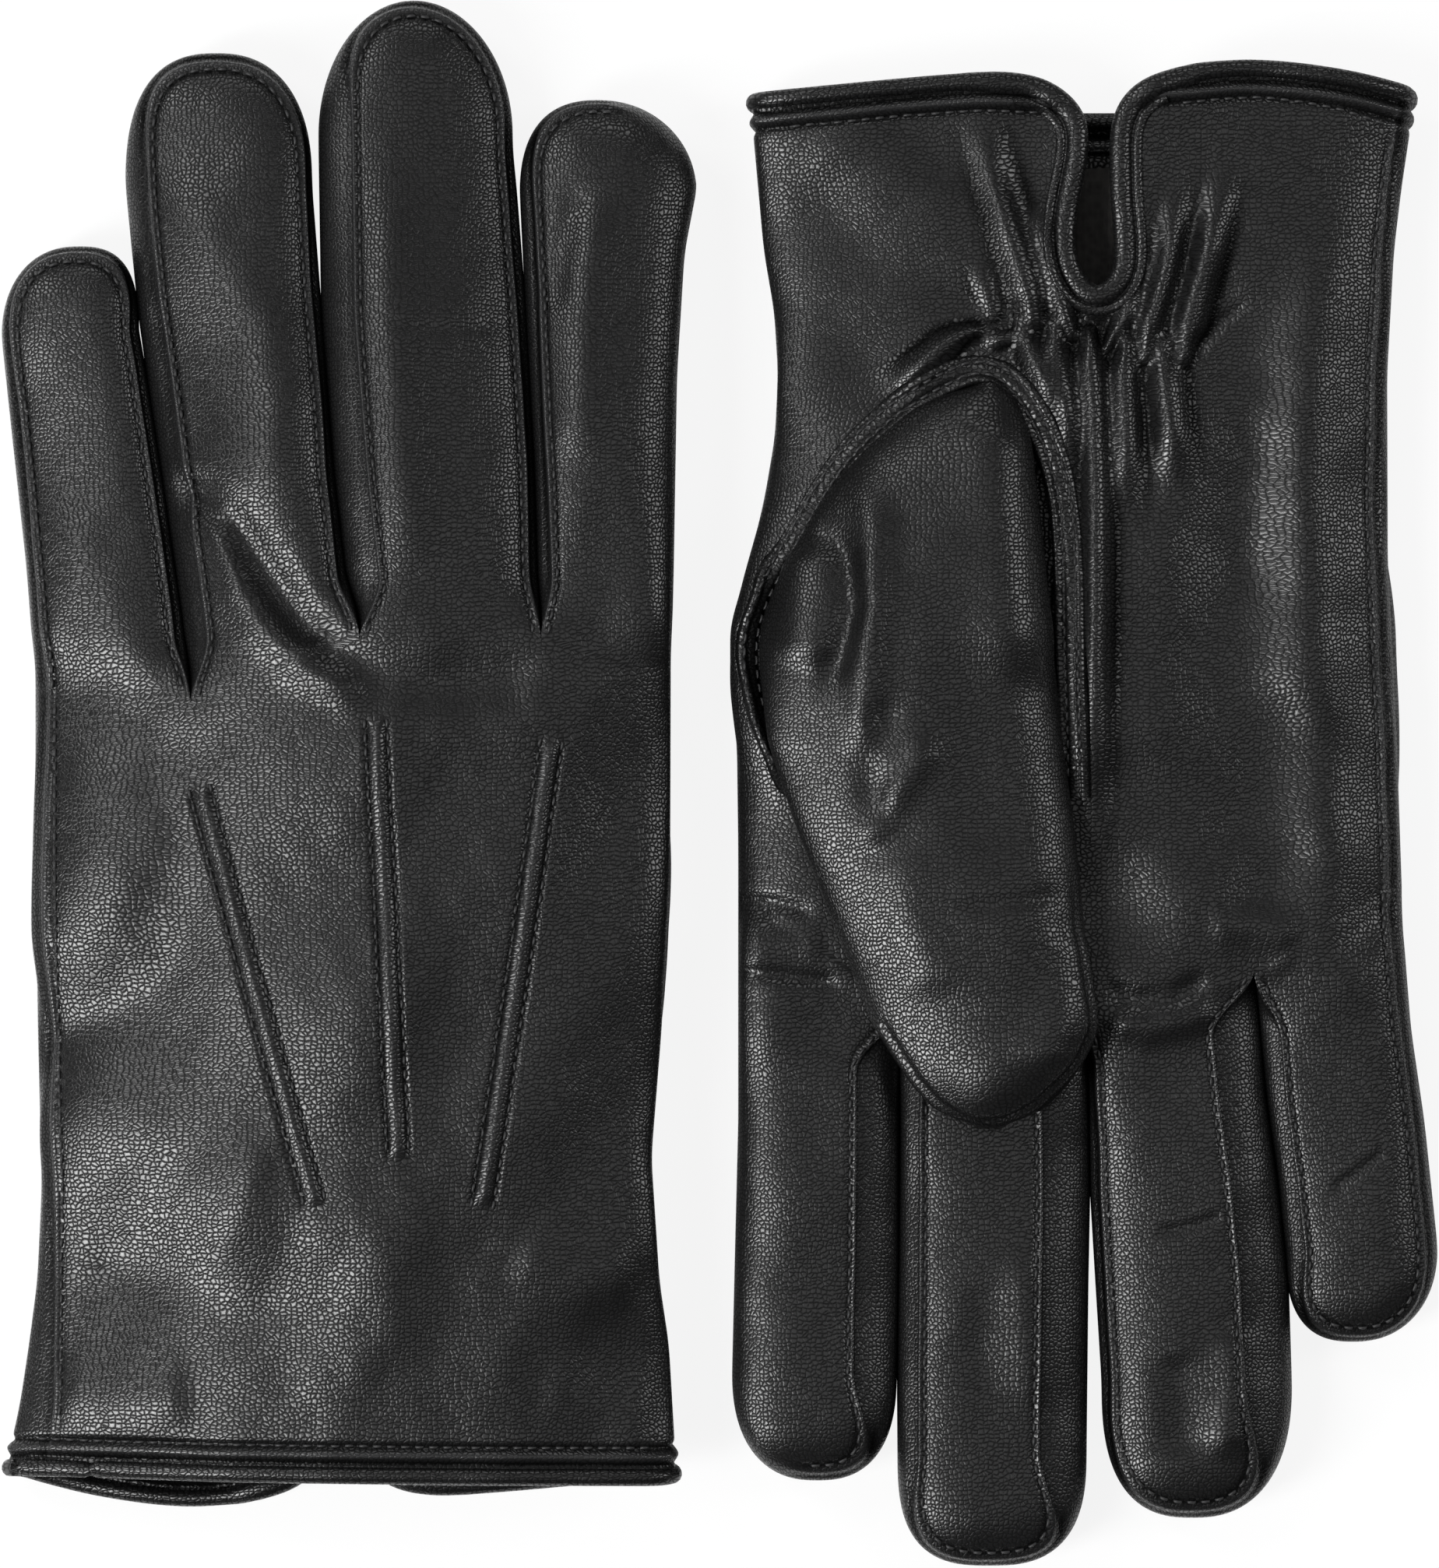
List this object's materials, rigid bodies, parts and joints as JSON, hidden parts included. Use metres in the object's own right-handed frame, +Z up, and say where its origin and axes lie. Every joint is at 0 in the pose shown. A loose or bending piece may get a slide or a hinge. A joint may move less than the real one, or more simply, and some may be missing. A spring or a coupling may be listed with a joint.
{
  "type": "pair of leather gloves",
  "caption": "Pair of lined black leather dress gloves with finger side strips, stitched points on the back, a bound cuff with a keyhole vent and fingers that bend.",
  "frame": {"origin": "on the table, below the middle of the pair's box", "axes": "+Z up; +Y towards the fingertips of the left glove, which lies back up; +X towards the right glove, which lies palm up and turned end for end"},
  "size_m": [0.2296, 0.2494, 0.0266],
  "materials": {
    "leather": "satin, fine pebble grain",
    "lining": "soft knit",
    "thread": "twisted thread",
    "elastic": "woven elastic"
  },
  "bodies": {
    "right_hand": {"right_trank": "leather", "right_lining": "lining", "right_fourchette_bases": "leather", "right_cuff_binding": "leather", "right_wrist_elastic": "elastic", "right_point_thread": "thread", "right_hem_thread": "thread", "right_side_seam_thread": "thread", "right_thumb_seam_thread": "thread", "right_thumb_base": "leather", "right_thumb_base_lining": "lining"},
    "right_index_finger": {"right_index_sleeve": "leather", "right_index_fourchette": "leather", "right_index_lining": "lining"},
    "right_middle_finger": {"right_middle_sleeve": "leather", "right_middle_fourchettes": "leather", "right_middle_lining": "lining"},
    "right_ring_finger": {"right_ring_sleeve": "leather", "right_ring_fourchettes": "leather", "right_ring_lining": "lining"},
    "right_little_finger": {"right_little_sleeve": "leather", "right_little_fourchette": "leather", "right_little_lining": "lining"},
    "right_thumb_tip": {"right_thumb_end": "leather", "right_thumb_end_lining": "lining"},
    "left_hand": {"left_trank": "leather", "left_lining": "lining", "left_fourchette_bases": "leather", "left_cuff_binding": "leather", "left_wrist_elastic": "elastic", "left_point_thread": "thread", "left_hem_thread": "thread", "left_side_seam_thread": "thread", "left_thumb_seam_thread": "thread", "left_thumb_base": "leather", "left_thumb_base_lining": "lining"},
    "left_index_finger": {"left_index_sleeve": "leather", "left_index_fourchette": "leather", "left_index_lining": "lining"},
    "left_middle_finger": {"left_middle_sleeve": "leather", "left_middle_fourchettes": "leather", "left_middle_lining": "lining"},
    "left_ring_finger": {"left_ring_sleeve": "leather", "left_ring_fourchettes": "leather", "left_ring_lining": "lining"},
    "left_little_finger": {"left_little_sleeve": "leather", "left_little_fourchette": "leather", "left_little_lining": "lining"},
    "left_thumb_tip": {"left_thumb_end": "leather", "left_thumb_end_lining": "lining"}
  },
  "joints": [
    {"name": "left_lift", "type": "slide", "parent": "right_hand", "child": "left_hand", "axis": [0, 0, 1], "range_m": [0, 0.12]},
    {"name": "right_index_curl", "type": "hinge", "parent": "right_hand", "child": "right_index_finger", "pos_m": [0.01675, -0.06525, 0.0153], "axis": [-1, 0, 0], "range_deg": [0, 80]},
    {"name": "right_middle_curl", "type": "hinge", "parent": "right_hand", "child": "right_middle_finger", "pos_m": [0.04552, -0.07025, 0.0153], "axis": [-1, 0, 0], "range_deg": [0, 80]},
    {"name": "right_ring_curl", "type": "hinge", "parent": "right_hand", "child": "right_ring_finger", "pos_m": [0.07536, -0.06525, 0.0153], "axis": [-1, 0, 0], "range_deg": [0, 80]},
    {"name": "right_little_curl", "type": "hinge", "parent": "right_hand", "child": "right_little_finger", "pos_m": [0.1015, -0.05125, 0.0153], "axis": [-1, 0, 0], "range_deg": [0, 80]},
    {"name": "right_thumb_lift", "type": "hinge", "parent": "right_hand", "child": "right_thumb_tip", "pos_m": [0.0332, 0.00575, 0.0266], "axis": [-1, 0, 0], "range_deg": [0, 50]},
    {"name": "left_index_curl", "type": "hinge", "parent": "left_hand", "child": "left_index_finger", "pos_m": [-0.01675, 0.06525, 0.00969], "axis": [-1, 0, 0], "range_deg": [0, 60]},
    {"name": "left_middle_curl", "type": "hinge", "parent": "left_hand", "child": "left_middle_finger", "pos_m": [-0.04552, 0.07025, 0.00907], "axis": [-1, 0, 0], "range_deg": [0, 60]},
    {"name": "left_ring_curl", "type": "hinge", "parent": "left_hand", "child": "left_ring_finger", "pos_m": [-0.07536, 0.06525, 0.00823], "axis": [-1, 0, 0], "range_deg": [0, 60]},
    {"name": "left_little_curl", "type": "hinge", "parent": "left_hand", "child": "left_little_finger", "pos_m": [-0.1015, 0.05125, 0.00033], "axis": [-1, 0, 0], "range_deg": [0, 60]},
    {"name": "left_thumb_droop", "type": "hinge", "parent": "left_hand", "child": "left_thumb_tip", "pos_m": [-0.0332, -0.00575, 0], "axis": [-1, 0, 0], "range_deg": [0, 50]}
  ],
  "couplings": [
    {"joint": "left_index_curl", "follows": "left_lift", "rad_per_m": 8.7},
    {"joint": "left_middle_curl", "follows": "left_lift", "rad_per_m": 8.7},
    {"joint": "left_ring_curl", "follows": "left_lift", "rad_per_m": 8.7},
    {"joint": "left_little_curl", "follows": "left_lift", "rad_per_m": 8.7},
    {"joint": "left_thumb_droop", "follows": "left_lift", "rad_per_m": 7.2}
  ]
}
